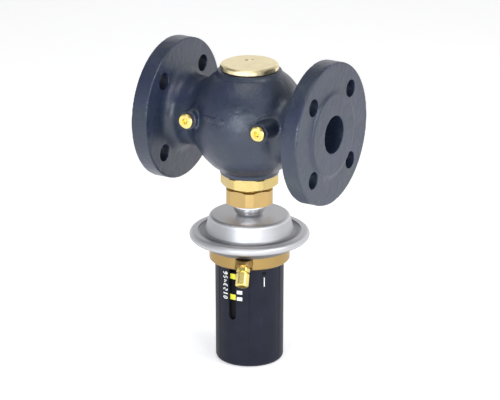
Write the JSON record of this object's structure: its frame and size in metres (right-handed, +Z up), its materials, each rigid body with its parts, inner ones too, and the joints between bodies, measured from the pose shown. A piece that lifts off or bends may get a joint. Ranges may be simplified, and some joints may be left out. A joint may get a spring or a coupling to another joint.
{
  "type": "differential pressure regulator",
  "caption": "Flanged globe valve with a diaphragm actuator below it; a turning handle sets the spring that holds a constant differential pressure.",
  "frame": {"origin": "centre of the inlet flange's raised sealing face", "axes": "+X along the flow axis from inlet to outlet, +Z up from the setting handle to the top plug, +Y from the test plugs to the back; the stem axis is vertical at x = 0.1 m"},
  "size_m": [0.2, 0.15, 0.339],
  "materials": {
    "painted_casting": "satin, slate blue grey over a cast surface",
    "brass": "turned, dull bright",
    "stainless": "pressed stainless, satin",
    "steel": "machined",
    "dark_steel": "zinc plated, dull",
    "black_plastic": "moulded, satin",
    "yellow_plastic": "moulded",
    "rubber": "matt",
    "bearing_polymer": "filled polymer, dull",
    "fibre_gasket": "fibre, dull"
  },
  "bodies": {
    "housing": {"valve_body": "painted_casting", "seat_ring": "steel", "top_plug": "brass", "top_plug_gasket": "fibre_gasket", "test_plugs": "brass", "test_plug_washers": "fibre_gasket", "valve_insert": "brass", "insert_gasket": "fibre_gasket", "stem_bush": "bearing_polymer", "stem_seals": "rubber", "seal_spacer": "bearing_polymer", "gland_nut": "brass", "union_nut": "brass", "actuator_neck": "steel", "upper_casing": "stainless", "clamp_ring": "dark_steel", "lower_casing": "stainless", "casing_nut": "brass", "housing_ring": "brass", "stem_seal_lower": "rubber", "seal_cover": "brass", "spindle_tube": "dark_steel", "bearing_washer": "bearing_polymer", "retaining_ring": "dark_steel", "fitting_body": "brass", "fitting_ferrule": "brass", "fitting_nut": "brass", "diaphragm": "rubber"},
    "stem": {"valve_stem": "steel", "valve_cone": "steel", "cone_seal": "rubber", "cone_nut": "steel", "balance_seal": "rubber", "actuator_stem": "steel", "upper_diaphragm_plate": "stainless", "lower_diaphragm_plate": "stainless", "diaphragm_nut": "steel", "spring_follower": "dark_steel", "cross_pin": "steel", "setting_spring": "steel"},
    "handle": {"handle": "black_plastic", "handle_end_cap": "black_plastic"},
    "setting_nut": {"setting_nut": "brass", "indicator_sleeve": "black_plastic", "indicator_rings": "yellow_plastic", "thrust_washer": "steel"}
  },
  "joints": [
    {"name": "valve_stroke", "type": "slide", "parent": "housing", "child": "stem", "axis": [0, 0, -1], "range_m": [0, 0.008], "stiffness_N_per_m": 8100, "springref_m": -0.018, "deforming": ["setting_spring", "diaphragm"]},
    {"name": "handle_turn", "type": "hinge", "parent": "housing", "child": "handle", "pos_m": [0.1, 0, -0.2], "axis": [0, 0, 1], "range_deg": [-1800, 720]},
    {"name": "nut_travel", "type": "slide", "parent": "handle", "child": "setting_nut", "axis": [0, 0, 1], "range_m": [-0.0151, 0.0061]}
  ],
  "couplings": [
    {"joint": "nut_travel", "follows": "handle_turn", "m_per_rad": 0.00047746}
  ]
}
